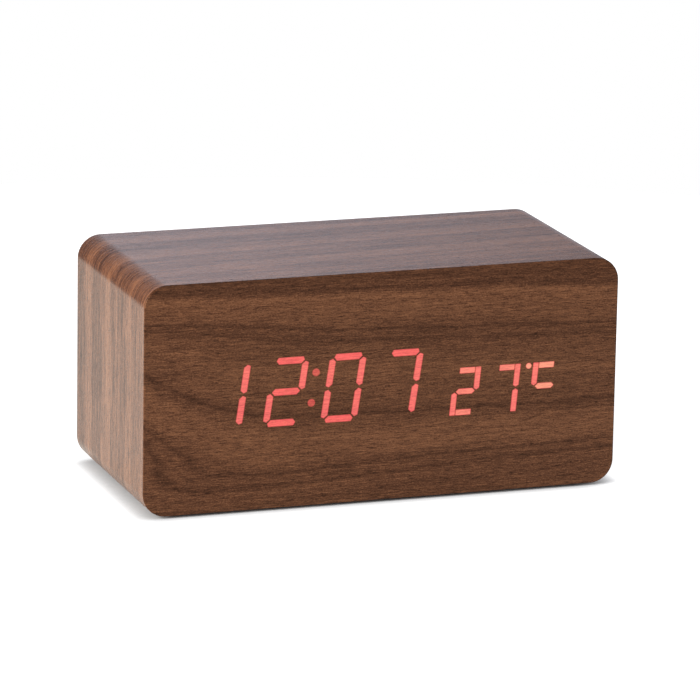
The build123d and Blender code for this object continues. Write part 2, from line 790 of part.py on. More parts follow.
def coil_point(seat_x, side, cell_z, quarters):
    """A point of a spring's line, some quarter turns from its seat, winding towards the given side."""
    share = quarters / spring_quarter_turns
    radius = spring_base_radius + (spring_tip_radius - spring_base_radius) * share
    spoke = Vector(0, radius, 0).rotate(Axis.X, 90 * quarters)
    lead_in = spring_wire / 2 + tip_gap / 2
    return (seat_x + side * (lead_in + spring_length * share), cell_y + spoke.Y, centre_z + cell_z + spoke.Z)


with BuildPart() as battery_springs:
    for number, cell_z in enumerate(cell_zs):
        towards_cell = 1 if number % 2 == 0 else -1
        spring_seat = (contact_left_x if towards_cell > 0 else contact_right_x, towards_cell, cell_z)
        with BuildLine() as coil:
            for quarter in range(spring_quarter_turns):
                ThreePointArc(*(coil_point(*spring_seat, quarter + step) for step in (0, 0.5, 1)))
        with BuildSketch(Plane(origin=coil.line @ 0, z_dir=coil.line % 0)):
            Circle(spring_wire / 2)
        sweep(path=coil.line)
save(battery_springs, "battery_springs")

# ================================================================ control board and what stands on it
with BuildPart() as control_board:
    with BuildSketch(upright(control_board_rear_y)):
        with Locations((control_x, 0)):
            RectangleRounded(control_board_width, control_board_height, board_corner_radius)
        with Locations(*boss_spots):
            Circle(screw_diameter / 2 + screw_play, mode=Mode.SUBTRACT)
    extrude(amount=board_thickness)
save(control_board, "control_board")

control_screws = pan_screws(boss_spots, control_board_front_y, board_screw_length, False)
save(control_screws, "control_screws")

header_centre = (control_x, sensor_lift)
with BuildPart() as ribbon_headers:
    with BuildSketch(upright(display_board_rear_y)):
        with Locations(header_centre):
            Rectangle(header_length, header_width)
    extrude(amount=-header_height)
    with BuildSketch(upright(control_board_front_y)):
        with Locations(header_centre):
            Rectangle(header_length, header_width)
    extrude(amount=header_height)
save(ribbon_headers, "ribbon_headers")

ribbon_start_y = display_board_rear_y + header_height
ribbon_end_y = control_board_front_y - header_height
ribbon_z = centre_z + sensor_lift
ribbon_points = [
    (control_x, ribbon_start_y, ribbon_z),
    (control_x, ribbon_start_y + ribbon_lead_out, ribbon_z),
    (control_x, (ribbon_start_y + ribbon_end_y) / 2, ribbon_z - ribbon_sag),
    (control_x, ribbon_end_y - ribbon_lead_out, ribbon_z),
    (control_x, ribbon_end_y, ribbon_z),
]
ribbon_radii = bend_radii(ribbon_points)
print("ribbon_cable bend radii", [round(radius, 1) for radius in ribbon_radii])
with BuildPart() as ribbon_cable:
    with BuildLine() as ribbon_route:
        FilletPolyline(*ribbon_points, radius=ribbon_radii)
    with BuildSketch(Plane(origin=ribbon_route.line @ 0, x_dir=(1, 0, 0), z_dir=ribbon_route.line % 0)):
        Rectangle(ribbon_width, ribbon_thickness)
    sweep(path=ribbon_route.line)
save(ribbon_cable, "ribbon_cable")

front_of_control = upright(control_board_front_y)
chip_spot = (control_x, header_centre[1] + header_width / 2 + part_gap + chip_width / 2 + chip_leg_reach)
microcontroller = chips_on(front_of_control, [chip_spot])
save(microcontroller, "microcontroller")

capacitor_spot = (control_x + header_length / 2 + part_gap + capacitor_diameter / 2, -capacitor_diameter)
with BuildPart() as capacitor:
    with BuildSketch(front_of_control):
        with Locations(capacitor_spot):
            Circle(capacitor_diameter / 2)
    extrude(amount=capacitor_height)
    fillet(capacitor.faces().sort_by(Axis.Y)[0].edges(), cell_edge_rounding)
save(capacitor, "capacitor")

crystal_z = header_centre[1] - header_width / 2 - part_gap - crystal_diameter / 2
with BuildPart() as crystal:
    with BuildSketch(Plane.YZ.offset(control_x - crystal_length)):
        with Locations((control_board_front_y - crystal_diameter / 2, centre_z + crystal_z)):
            Circle(crystal_diameter / 2)
    extrude(amount=crystal_length)
save(crystal, "crystal")

with BuildPart() as chip_resistors:
    with BuildSketch(front_of_control):
        with Locations((control_x, crystal_z - crystal_diameter / 2 - part_gap - resistor_length / 2)):
            with GridLocations(resistor_pitch, 0, resistor_count, 1):
                Rectangle(resistor_width, resistor_length)
    extrude(amount=resistor_height)
save(chip_resistors, "chip_resistors")

# ================================================================ push buttons
plunger_top_y = control_board_rear_y + tact_height + tact_plunger_height
flange_outer_y = cover_inner_y - button_flange_play
flange_inner_y = flange_outer_y - button_flange_thickness
symbol_turns = {"set": None, "up": 0, "down": 180}

with BuildPart() as switch_bodies:
    with BuildSketch(upright(control_board_rear_y + tact_height)):
        with Locations(*button_centres.values()):
            Rectangle(tact_side, tact_side)
    extrude(amount=tact_height)
    with BuildSketch(upright(control_board_rear_y + tact_height)):
        with Locations(*button_centres.values()):
            Circle(tact_plunger_diameter / 2 + tact_bore_play)
    extrude(amount=tact_plunger_guide + button_travel + tact_floor_gap, mode=Mode.SUBTRACT)
save(switch_bodies, "switch_bodies")

for button_name, button_centre in button_centres.items():
    with BuildPart() as switch_plunger:
        with BuildSketch(upright(plunger_top_y)):
            with Locations(button_centre):
                Circle(tact_plunger_diameter / 2)
        extrude(amount=tact_plunger_height + tact_plunger_guide)
    save(switch_plunger, f"switch_plunger_{button_name}")

    with BuildPart() as button:
        with BuildSketch(upright(cover_outer_y + button_proud)):
            with Locations(button_centre):
                Circle(button_diameter / 2)
        extrude(amount=cover_outer_y + button_proud - flange_outer_y)
        fillet(button.faces().sort_by(Axis.Y)[-1].edges(), button_edge_rounding)
        with BuildSketch(upright(flange_outer_y)):
            with Locations(button_centre):
                Circle(button_flange_diameter / 2)
        extrude(amount=button_flange_thickness)
        with BuildSketch(upright(flange_inner_y)):
            with Locations(button_centre):
                Circle(button_stem_diameter / 2)
        extrude(amount=flange_inner_y - plunger_top_y)
        # an arrow head on the up and down buttons, a bar on the set button
        with BuildSketch(upright(cover_outer_y + button_proud)):
            with Locations(button_centre):
                if symbol_turns[button_name] is None:
                    Rectangle(symbol_side, symbol_bar)
                else:
                    RegularPolygon(symbol_side / 3**0.5, 3, rotation=90 + symbol_turns[button_name])
        extrude(amount=symbol_depth, mode=Mode.SUBTRACT)
    save(button, f"button_{button_name}")

# ================================================================ sound switch
slider_top_y = control_board_rear_y + slider_body_height
with BuildPart() as slider_body:
    with BuildSketch(upright(slider_top_y)):
        with Locations(slider_centre):
            Rectangle(slider_body_length, slider_body_width)
    extrude(amount=slider_body_height)
    with BuildSketch(upright(slider_top_y)):
        with Locations(slider_centre):
            Rectangle(slider_sweep + 2 * slider_play, slider_width + 2 * slider_play)
    extrude(amount=slider_depth + slider_play, mode=Mode.SUBTRACT)
save(slider_body, "slider_body")

with BuildPart() as slider_knob:
    with BuildSketch(upright(cover_outer_y + slider_proud)):
        with Locations(slider_rest):
            Rectangle(slider_length, slider_width)
    extrude(amount=cover_outer_y + slider_proud - slider_top_y + slider_depth)
    fillet(slider_knob.faces().sort_by(Axis.Y)[-1].edges(), slider_rounding)
save(slider_knob, "slider_knob")

# ================================================================ power socket
usb_mouth_y = cover_outer_y - usb_inset
with BuildPart() as usb_shell:
    with BuildSketch(upright(usb_mouth_y)) as shell_outline:
        with Locations(usb_centre):
            Rectangle(usb_width, usb_height)
        chamfer(shell_outline.vertices().group_by(Axis.Y)[0], usb_key_chamfer)
        offset(amount=-usb_shell_wall, kind=Kind.INTERSECTION, mode=Mode.SUBTRACT)
    extrude(amount=usb_mouth_y - control_board_rear_y)
save(usb_shell, "usb_shell")

with BuildPart() as usb_insert:
    with BuildSketch(upright(control_board_rear_y)) as insert_outline:
        with Locations(usb_centre):
            Rectangle(usb_width, usb_height)
        chamfer(insert_outline.vertices().group_by(Axis.Y)[0], usb_key_chamfer)
        offset(amount=-usb_shell_wall - usb_insert_play, kind=Kind.INTERSECTION, mode=Mode.REPLACE)
    extrude(amount=-usb_base_length)
    with BuildSketch(upright(control_board_rear_y)):
        with Locations(usb_centre):
            Rectangle(usb_tongue_width, usb_tongue_thickness)
    extrude(amount=-(usb_mouth_y - usb_tongue_inset - control_board_rear_y))
save(usb_insert, "usb_insert")

with BuildPart() as usb_contacts:
    with BuildSketch(upright(control_board_rear_y + usb_base_length)):
        with Locations((usb_centre[0], usb_centre[1] + usb_tongue_thickness / 2)):
            with GridLocations(usb_contact_pitch, 0, usb_contact_count, 1):
                Rectangle(usb_contact_width, usb_contact_thickness, align=(Align.CENTER, Align.MIN))
    extrude(amount=-(usb_mouth_y - usb_contact_inset - control_board_rear_y - usb_base_length))
save(usb_contacts, "usb_contacts")

# ================================================================ sound and temperature parts
with BuildPart() as buzzer:
    with BuildSketch(upright(control_board_rear_y)):
        with Locations(buzzer_centre):
            Circle(buzzer_diameter / 2)
    extrude(amount=-buzzer_height)
    with BuildSketch(upright(control_board_rear_y + buzzer_height)):
        with Locations(buzzer_centre):
            Circle(buzzer_mouth / 2)
    extrude(amount=buzzer_mouth, mode=Mode.SUBTRACT)
save(buzzer, "buzzer")

with BuildPart() as microphone:
    with BuildSketch(upright(control_board_rear_y)):
        with Locations(microphone_centre):
            Circle(microphone_diameter / 2)
    extrude(amount=-microphone_height)
    with BuildSketch(upright(control_board_rear_y + microphone_height)):
        with Locations(microphone_centre):
            Circle(microphone_mouth / 2)
    extrude(amount=microphone_mouth_depth, mode=Mode.SUBTRACT)
save(microphone, "microphone")

with BuildPart() as temperature_sensor:
    with BuildSketch(upright(control_board_rear_y)):
        with Locations(sensor_centre):
            with GridLocations(sensor_lead_spacing, 0, 2, 1):
                Circle(sensor_lead_diameter / 2)
    extrude(amount=-(sensor_height - sensor_bead_radius))
    bead_y = control_board_rear_y + sensor_height - sensor_bead_radius
    with Locations((sensor_centre[0], bead_y, centre_z + sensor_centre[1])):
        Sphere(sensor_bead_radius)
save(temperature_sensor, "temperature_sensor")

# ================================================================ battery leads
# Each lead leaves its lug forwards, crosses in front of the tray and turns back to its pad
# on the control board.
lug_tip_y = tray_front_y - lug_length
lead_turn_y = lug_tip_y - lead_drop
lead_approach_y = control_board_front_y - lead_approach
lead_pad_x = control_x - control_board_width / 2 + boss_inset
lead_routes = {
    "battery_lead_red": [
        (lug_right_x, lug_tip_y, cell_zs[0]),
        (lug_right_x, lead_turn_y, cell_zs[0]),
        (lead_pad_x - 1, lead_turn_y + 1, lead_pad_spread + 1.5),
        (lead_pad_x, lead_approach_y, lead_pad_spread),
        (lead_pad_x, control_board_front_y, lead_pad_spread),
    ],
    "battery_lead_black": [
        (lug_left_x, lug_tip_y, cell_zs[-1]),
        (lug_left_x, lead_turn_y, cell_zs[-1]),
        (lug_left_x + 14, lead_turn_y - 1.5, cell_zs[-1] - 2),
        (lug_left_x + 33, lead_turn_y - 0.5, cell_zs[-1] - 0.5),
        (lead_pad_x - 10, lead_turn_y, -lead_pad_spread - 5),
        (lead_pad_x - 1, lead_turn_y + 1, -lead_pad_spread - 1.5),
        (lead_pad_x, lead_approach_y, -lead_pad_spread),
        (lead_pad_x, control_board_front_y, -lead_pad_spread),
    ],
}
for lead_name, lead_points in lead_routes.items():
    lead_points = [(x, y, centre_z + z) for x, y, z in lead_points]
    lead_radii = bend_radii(lead_points)
    print(lead_name, "bend radii", [round(radius, 1) for radius in lead_radii])
    with BuildPart() as battery_lead:
        with BuildLine() as lead_route:
            FilletPolyline(*lead_points, radius=lead_radii)
        with BuildSketch(Plane(origin=lead_route.line @ 0, z_dir=lead_route.line % 0)):
            Circle(lead_diameter / 2)
        sweep(path=lead_route.line)
    save(battery_lead, lead_name)
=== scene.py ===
import math

import bmesh
import bpy
from mathutils import Matrix, Vector
from mathutils.geometry import delaunay_2d_cdt


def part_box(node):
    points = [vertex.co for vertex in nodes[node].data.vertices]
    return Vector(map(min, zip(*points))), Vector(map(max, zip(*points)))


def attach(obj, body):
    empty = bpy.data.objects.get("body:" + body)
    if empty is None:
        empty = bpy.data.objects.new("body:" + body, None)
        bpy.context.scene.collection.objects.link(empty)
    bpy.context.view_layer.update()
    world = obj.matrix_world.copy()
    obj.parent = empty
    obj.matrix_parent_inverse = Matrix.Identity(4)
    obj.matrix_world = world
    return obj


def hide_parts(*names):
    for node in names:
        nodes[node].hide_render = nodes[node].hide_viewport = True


# The desk clock as the photograph shows it. Two pieces of veneer are made here, the lit front and
# the wrap. Every other piece is carried over from the CAD frame and given a material.
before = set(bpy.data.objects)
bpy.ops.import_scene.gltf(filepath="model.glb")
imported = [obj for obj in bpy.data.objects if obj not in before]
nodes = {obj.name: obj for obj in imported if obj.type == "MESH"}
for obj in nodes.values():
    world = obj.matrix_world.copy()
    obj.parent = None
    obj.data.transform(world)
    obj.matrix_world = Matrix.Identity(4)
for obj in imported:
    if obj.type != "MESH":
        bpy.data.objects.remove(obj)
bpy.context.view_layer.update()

MM = 0.001

# ---------------------------------------------------------------- sizes from the frame, in metres
face_low, face_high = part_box("front_veneer")
front_y = face_low[1]
core_front_y = face_high[1]
core_rear_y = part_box("veneer_wrap")[1][1]
veneer = core_front_y - front_y
half_width = face_high[0]
half_height = (face_high[2] - face_low[2]) / 2
centre_z = (face_high[2] + face_low[2]) / 2

# ---------------------------------------------------------------- veneer
corner_radius = 7.2 * MM
arris = 0.25 * MM  # rounding of the veneer's front edge
seam = 0.15 * MM  # butt joint of the wrap, under the base
corner_steps = 24
arris_steps = 4

# ---------------------------------------------------------------- light through the veneer, in mm
core_inset = 0.22  # from a bar's outline in to its full light, less than its corners are rounded by
large_spill = 0.08  # from a large bar's outline out to the last of its light
small_spill = 0.07
same_plane = 0.01  # faces whose corners are this near to the front count as front faces
same_point = 0.001

# the bars that are lit, by letter: a is the top one, b to f follow clockwise, and g is the middle one
LIT = {
    "light_guides_hour_tens": "bc",
    "light_guides_hour_units": "abged",
    "light_guides_minute_tens": "abcdef",
    "light_guides_minute_units": "abc",
    "light_guides_small_tens": "abged",
    "light_guides_small_units": "abc",
    "light_guides_small_sign": "afg",
}


def srgb(red, green, blue):
    """A colour written as 0 to 255 in sRGB, as the linear RGBA that shaders take."""

    def linear(level):
        share = level / 255
        return share / 12.92 if share <= 0.04045 else ((share + 0.055) / 1.055) ** 2.4

    return (linear(red), linear(green), linear(blue), 1.0)


# ================================================================ shader building
NOISE_LOW = 0.3  # most of a noise lies between these two
NOISE_HIGH = 0.7


class Nodes:
    """Builds a node tree. node returns the node that it adds, and the others return its outputs."""

    def __init__(self, tree):
        self.tree = tree

    def node(self, kind, inputs=(), **settings):
        """Adds a node. inputs gives its sockets, by name or number, a value or another node's output."""
        made = self.tree.nodes.new(kind)
        for key, value in settings.items():
            setattr(made, key, value)
        for key, value in dict(inputs).items():
            self.feed(made.inputs[key], value)
        return made

    def feed(self, socket, value):
        """Links a socket to another one, or sets it to a plain value."""
        if isinstance(value, bpy.types.NodeSocket):
            self.tree.links.new(value, socket)
        else:
            socket.default_value = value

    def object_mm(self):
        """The place on the object, in mm."""
        where = self.node("ShaderNodeTexCoord").outputs["Object"]
        return self.vector("SCALE", where, scale=1 / MM)

    def attribute(self, name, output="Vector"):
        return self.node("ShaderNodeAttribute", attribute_name=name).outputs[output]

    def vector(self, operation, a, b=None, scale=None):
        made = self.node("ShaderNodeVectorMath", {0: a}, operation=operation)
        if b is not None:
            self.feed(made.inputs[1], b)
        if scale is not None:
            self.feed(made.inputs["Scale"], scale)
        return made.outputs[0]

    def split(self, vector):
        return self.node("ShaderNodeSeparateXYZ", {0: vector}).outputs

    def join(self, x, y, z=0.0):
        return self.node("ShaderNodeCombineXYZ", {0: x, 1: y, 2: z}).outputs[0]

    def math(self, operation, a, b=0.0, c=0.0):
        return self.node("ShaderNodeMath", {0: a, 1: b, 2: c}, operation=operation).outputs[0]

    def spread(self, value, low, high, to_low=0.0, to_high=1.0, kind="SMOOTHSTEP"):
        """A value from low to high, mapped to the range from to_low to to_high and held at its ends."""
        ends = {1: low, 2: high, 3: to_low, 4: to_high, 0: value}
        return self.node("ShaderNodeMapRange", ends, interpolation_type=kind).outputs[0]

    def noise(self, where, size, seed=0.0, detail=2.0, roughness=0.5):
        """Noise about 0.5 whose features have the given size in the units of where."""
        scale = tuple(1 / length for length in size)
        shift = (seed, 1.7 * seed, 0.6 * seed)
        placed = self.vector("ADD", self.vector("MULTIPLY", where, scale), shift)
        values = {"Vector": placed, "Scale": 1.0, "Detail": detail, "Roughness": roughness}
        return self.node("ShaderNodeTexNoise", values).outputs["Fac"]

    def cells(self, where, size):
        """Distance from the middle of cells that have the given size in the units of where."""
        scale = tuple(1 / length for length in size)
        placed = self.vector("MULTIPLY", where, scale)
        return self.node("ShaderNodeTexVoronoi", {"Vector": placed, "Scale": 1.0}).outputs["Distance"]

    def ramp(self, value, stops):
        made = self.node("ShaderNodeValToRGB", {0: value})
        elements = made.color_ramp.elements
        while len(elements) < len(stops):
            elements.new(1.0)
        for element, (place, colour) in zip(elements, stops):
            element.position = place
            element.color = colour
        return made.outputs["Color"]

    def tone_ramp(self, value, stops):
        return self.ramp(value, [(place, (tone, tone, tone, 1.0)) for place, tone in stops])

    def shades(self, noise, dark, light):
        """A noise as a colour between two."""
        return self.ramp(noise, ((NOISE_LOW, dark), (NOISE_HIGH, light)))

    def varied(self, noise, low, high, kind="SMOOTHSTEP"):
        """A noise as a value between two others."""
        return self.spread(noise, NOISE_LOW, NOISE_HIGH, low, high, kind)

    def mix(self, share, a, b):
        """Colour a where share is 0 and colour b where it is 1."""
        return self.node("ShaderNodeMix", {0: share, 6: a, 7: b}, data_type="RGBA").outputs[2]


class Shader(Nodes):
    """A material, with a principled surface."""

    def __init__(self, name):
        self.material = bpy.data.materials.new(name)
        self.material.use_nodes = True
        super().__init__(self.material.node_tree)
        self.surface = self.tree.nodes["Principled BSDF"]

    def set(self, **values):
        """Sets the surface's own sockets: a name's underscores stand for spaces."""
        for key, value in values.items():
            self.feed(self.surface.inputs[key.replace("_", " ")], value)

    def bump(self, height, depth):
        """Depth is the height in mm that a full step of the height socket stands for."""
        values = {"Height": height, "Distance": depth * MM, "Strength": 1.0}
        normal = self.node("ShaderNodeBump", values).outputs[0]
        self.feed(self.surface.inputs["Normal"], normal)


# ================================================================ walnut
WALNUT = (
    (0.00, srgb(52, 30, 19)),
    (0.25, srgb(73, 43, 28)),
    (0.50, srgb(94, 57, 37)),
    (0.75, srgb(116, 73, 47)),
    (1.00, srgb(140, 91, 60)),
)

# The growth rings as (level in mm, tone), set to follow the photo's light and dark bands.
# A tone goes from 0, dark, to 1, light.
FRONT_RINGS = (
    (0.0, 0.36), (1.6, 0.24), (2.8, 0.40), (4.4, 0.24),
    (5.4, 0.40), (6.6, 0.82), (8.4, 0.64), (10.0, 0.68),
    (13.4, 0.62), (16.2, 0.52), (17.2, 0.22), (18.2, 0.46),
    (20.0, 0.40), (20.8, 0.21), (21.8, 0.46), (27.0, 0.54),
    (31.0, 0.66), (34.0, 0.52), (38.5, 0.50), (41.6, 0.42),
    (42.8, 0.21), (44.0, 0.42), (49.5, 0.68), (54.0, 0.66),
    (58.0, 0.52), (59.2, 0.22), (60.2, 0.50), (62.0, 0.46),
    (63.0, 0.20), (64.2, 0.52), (68.0, 0.40), (80.0, 0.46),
)
WRAP_RINGS = (
    (0.0, 0.46), (7.0, 0.46), (9.5, 0.78), (13.5, 0.80),
    (15.5, 0.50), (18.0, 0.42), (20.5, 0.54), (22.5, 0.42),
    (24.5, 0.48), (27.0, 0.68), (29.0, 0.62), (31.0, 0.82),
    (34.5, 0.84), (36.5, 0.48), (38.5, 0.50), (41.0, 0.66),
    (44.0, 0.60), (47.0, 0.50), (49.5, 0.58), (52.0, 0.80),
    (56.0, 0.80), (58.0, 0.62), (60.0, 0.54), (62.0, 0.66),
    (64.0, 0.54), (66.0, 0.62), (68.0, 0.76), (71.0, 0.72),
    (75.0, 0.48), (80.0, 0.66), (86.0, 0.46), (95.0, 0.66),
)

lacquer_swing = 0.3  # dark, open grain takes the lacquer in and shines less than pale grain
lacquer_ior = 1.33
lacquer_tint = (1.0, 0.78, 0.62, 1.0)
fibre_strength = 1.45
fleck_strength = 1.15
pore_strength = 0.38  # how far a pore darkens the tone
wood_relief = 0.004  # in mm


def walnut(name, figure, contrast=0.95, lines=0.45, gloss=0.18, flat=False):
    """Walnut veneer under satin lacquer.

    figure(wood, grain, along, across) gives the tone of the rings. A flat sheet has no grain
    attribute: its grain runs along X.
    """
    wood = Shader(name)
    if flat:
        x, _, z = wood.split(wood.object_mm())
        grain = wood.join(x, z)
    else:
        grain = wood.attribute("grain")
    along, across, _ = wood.split(grain)
    rings = figure(wood, grain, along, across)
    fibres = wood.noise(grain, (3.2, 0.24, 1.0), seed=7.7, detail=3.0, roughness=0.65)
    pores = wood.spread(wood.noise(grain, (2.0, 0.26, 1.0), seed=12.3, detail=1.0), 0.60, 0.70)
    tone = marked(wood, grain, rings, fibres, pores, contrast, lines)
    dull = 0.5 - lacquer_swing
    bright = 0.5 + lacquer_swing
    wood.set(Base_Color=wood.ramp(tone, WALNUT), IOR=lacquer_ior, Specular_Tint=lacquer_tint)
    wood.set(Roughness=wood.varied(fibres, gloss, gloss + 0.07, "LINEAR"))
    wood.set(Specular_IOR_Level=wood.spread(tone, 0.0, 1.0, dull, bright, "LINEAR"))
    relief = wood.math("MULTIPLY_ADD", fibres, 0.5, wood.math("MULTIPLY", pores, -1.0))
    wood.bump(relief, wood_relief)
    return wood


def marked(wood, grain, rings, fibres, pores, contrast, lines):
    """The rings' tone with the marks of the grain over it, each with its length and width in mm."""
    streaks = wood.noise(grain, (24.0, 0.7, 1.0), seed=3.1, detail=3.0)
    dashes = wood.noise(grain, (5.5, 0.7, 1.0), seed=9.6, detail=2.0)
    flecks = wood.noise(grain, (0.55, 0.22, 1.0), seed=15.2, detail=1.0)
    marks = (
        (streaks, lines),
        (dashes, 0.5 * lines),
        (fibres, fibre_strength),
        (flecks, fleck_strength),
    )
    tone = rings
    for mark, strength in marks:
        tone = wood.math("MULTIPLY_ADD", wood.math("SUBTRACT", mark, 0.5), strength * contrast, tone)
    return wood.math("MULTIPLY_ADD", pores, -pore_strength * contrast, tone)


def ringed(wood, along, level, rings, strength, lines):
    """Tone of the growth rings at a level in mm, with fine lines that run with them.

    strength is how far the rings' tones stand apart, and lines is how far the fine lines do.
    """
    last_level = rings[-1][0]
    share = wood.math("DIVIDE", level, last_level)
    stops = [(place / last_level, 0.5 + strength * (tone - 0.5)) for place, tone in rings]
    broad = wood.tone_ramp(share, stops)
    fine = wood.noise(wood.join(along, level), (70.0, 0.6, 1.0), seed=4.4, detail=3.0)
    return wood.math("MULTIPLY_ADD", wood.math("SUBTRACT", fine, 0.5), lines, broad)


# The front's figure, in mm. Depth is measured down from the top edge, and a place from the left edge.
fall_length_depths = (12.0, 28.0)
fall_lengths = (80.0, 48.0)  # how far from the left the rings still fall, at those depths
fall_depths = (3.0, 28.0)
falls = (2.0, 16.5)  # how far they fall, at those depths
fall_end_depths = (44.0, 72.0)  # between them the fall fades to nothing
lean_place = 72.0  # from here to the right, the upper rings fall a little more
lean_slope = 0.033
lean_end_depths = (30.0, 56.0)  # between them the lean fades to nothing
rise_depths = (50.0, 62.0)  # between them the rise grows to its full size
rise_places = (20.0, 160.0)
rises = (-2.0, 5.5)  # how far the lowest rings stand higher, at those places
front_sway = 1.2


def front_fall(wood, depth, from_left):
    """How much higher a ring stands than where its fall ends, by a parabola."""
    length = wood.spread(depth, *fall_length_depths, *fall_lengths)
    share_left = wood.spread(wood.math("DIVIDE", from_left, length), 0.0, 1.0, 1.0, 0.0, "LINEAR")
    parabola = wood.math("MULTIPLY", share_left, share_left)
    deepening = wood.spread(depth, *fall_depths, *falls)
    fading = wood.spread(depth, *fall_end_depths, 1.0, 0.0)
    return wood.math("MULTIPLY", parabola, wood.math("MULTIPLY", deepening, fading))


def front_lean(wood, depth, from_left):
    """How much lower an upper ring stands, at the right, as a number below zero."""
    to_right = wood.math("MINIMUM", wood.math("SUBTRACT", lean_place, from_left), 0.0)
    return wood.math("MULTIPLY", to_right, wood.spread(depth, *lean_end_depths, lean_slope, 0.0))


def front_rise(wood, depth, from_left):
    """How much higher a low ring stands, growing to the right."""
    growing = wood.spread(depth, *rise_depths)
    return wood.math("MULTIPLY", growing, wood.spread(from_left, *rise_places, *rises, "LINEAR"))


def front_figure(wood, grain, along, across):
    """Flat-sawn figure: rings run down from the left side, and the lowest of them rise to the right."""
    from_left = wood.math("ADD", along, half_width / MM)
    depth = wood.math("SUBTRACT", half_height / MM, across)
    level = wood.math("ADD", depth, front_fall(wood, depth, from_left))
    level = wood.math("ADD", level, front_lean(wood, depth, from_left))
    level = wood.math("ADD", level, front_rise(wood, depth, from_left))
    sway = wood.noise(grain, (38.0, 8.0, 1.0), seed=1.3, detail=3.0)
    level = wood.math("ADD", level, wood.spread(sway, 0.0, 1.0, -front_sway, front_sway, "LINEAR"))
    return ringed(wood, along, level, FRONT_RINGS, strength=0.78, lines=0.28)


# The wrap's figure, in mm. Across is measured from the rear, and along from the seam.
wrap_slope = 0.04  # how far a ring drifts to the rear for each mm to the right on the top
wrap_slope_growth = 0.0016  # how much that grows for each mm to the front
wrap_sway = 2.0


def wrap_figure(wood, grain, along, across):
    """Bands that run round the case and drift across its top."""
    corner_arc = math.pi / 2 * corner_radius
    run_to_top_left = 3 * half_width + 2 * half_height - 5 * corner_radius + 2 * corner_arc
    from_left = wood.math("MAXIMUM", wood.math("SUBTRACT", run_to_top_left / MM, along), 0.0)
    from_left = wood.math("MINIMUM", from_left, 2 * half_width / MM)
    slope = wood.math("MULTIPLY_ADD", across, wrap_slope_growth, wrap_slope)
    sway = wood.noise(grain, (60.0, 12.0, 1.0), seed=5.9, detail=2.0)
    sway = wood.spread(sway, 0.0, 1.0, -wrap_sway, wrap_sway, "LINEAR")
    level = wood.math("MULTIPLY_ADD", from_left, slope, wood.math("ADD", across, sway))
    return ringed(wood, along, level, WRAP_RINGS, strength=0.95, lines=0.90)


def rear_figure(wood, grain, along, across):
    """Plain bands along X that sway up and down."""
    rear_sway = 16.0
    sway = wood.noise(grain, (70.0, 14.0, 1.0), seed=8.4, detail=2.0)
    level = wood.math("MULTIPLY_ADD", sway, rear_sway, across)
    rings = wood.noise(wood.join(0.0, level), (1.0, 5.5, 1.0), seed=2.2, detail=3.0)
    return wood.spread(rings, 0.25, 0.75, 0.0, 1.0, "LINEAR")


light_swing = 0.20  # how far the fine grain dims and brightens the light


def lit_walnut():
    """The front's walnut, with the digits' light shining through it and broken up by fine grain."""
    wood = walnut("walnut_front", front_figure)
    light = wood.attribute("led_light", "Color")
    fine_grain = wood.noise(wood.attribute("grain"), (2.0, 0.25, 1.0), seed=21.0, detail=2.0)
    shade = wood.varied(fine_grain, 1.0 - light_swing, 1.0 + light_swing, "LINEAR")
    wood.set(Emission_Color=wood.vector("MULTIPLY", light, wood.join(shade, shade, shade)))
    wood.set(Emission_Strength=1.0)
    return wood.material


# ================================================================ outlines and bars
def rounded_outline(across, up, radius):
    """Points of a rounded rectangle about the origin, anticlockwise from the right side's upper end."""
    points = []
    for quarter in range(4):
        middle = quarter * math.pi / 2 + math.pi / 4
        corner_x = math.copysign(across - radius, math.cos(middle))
        corner_z = math.copysign(up - radius, math.sin(middle))
        for step in range(corner_steps + 1):
            angle = (quarter + step / corner_steps) * math.pi / 2
            x = corner_x + radius * math.cos(angle)
            z = corner_z + radius * math.sin(angle)
            points.append(Vector((x, z)))
    return points


def grown(loop, amount):
    """An anticlockwise loop moved outwards by amount."""
    least_lean = 0.5  # keeps the point of a sharp corner from running off
    moved = []
    for index, point in enumerate(loop):
        before = (point - loop[index - 1]).normalized()
        after = (loop[(index + 1) % len(loop)] - point).normalized()
        outward = (Vector((before.y, -before.x)) + Vector((after.y, -after.x))).normalized()
        lean = max(least_lean, outward.dot(Vector((after.y, -after.x))))
        moved.append(point + outward * amount / lean)
    return moved


def front_loops(node):
    """Outlines in mm of a node's flat front faces, anticlockwise as (x, z) from the case's centre."""
    mesh = bmesh.new()
    mesh.from_mesh(nodes[node].data)
    bmesh.ops.remove_doubles(mesh, verts=mesh.verts, dist=same_point * MM)
    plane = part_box(node)[0][1] + same_plane * MM
    front = {face for face in mesh.faces if all(corner.co.y < plane for corner in face.verts)}
    rim = {}  # each corner on the rim, with the next one round it
    for face in front:
        for side in face.loops:
            other = [near for near in side.edge.link_faces if near is not face]
            if not other or other[0] not in front:
                rim[side.vert] = side.link_loop_next.vert
    loops = []
    while rim:
        here = next(iter(rim.values()))
        loop = []
        while here in rim:
            loop.append(Vector((here.co.x, here.co.z - centre_z)) / MM)
            here = rim.pop(here)
        loops.append(loop)
    mesh.free()
    return loops


def letter_of(loop, middle):
    """Which bar of a seven-bar digit a loop is, from its place about the digit's middle."""
    xs = [point.x for point in loop]
    zs = [point.y for point in loop]
    width = max(xs) - min(xs)
    height = max(zs) - min(zs)
    x = (max(xs) + min(xs)) / 2 - middle.x
    z = (max(zs) + min(zs)) / 2 - middle.y
    if width > height and abs(z) < height:
        return "g"
    if width > height:
        return "a" if z > 0 else "d"
    if z > 0:
        return "b" if x > 0 else "f"
    return "c" if x > 0 else "e"


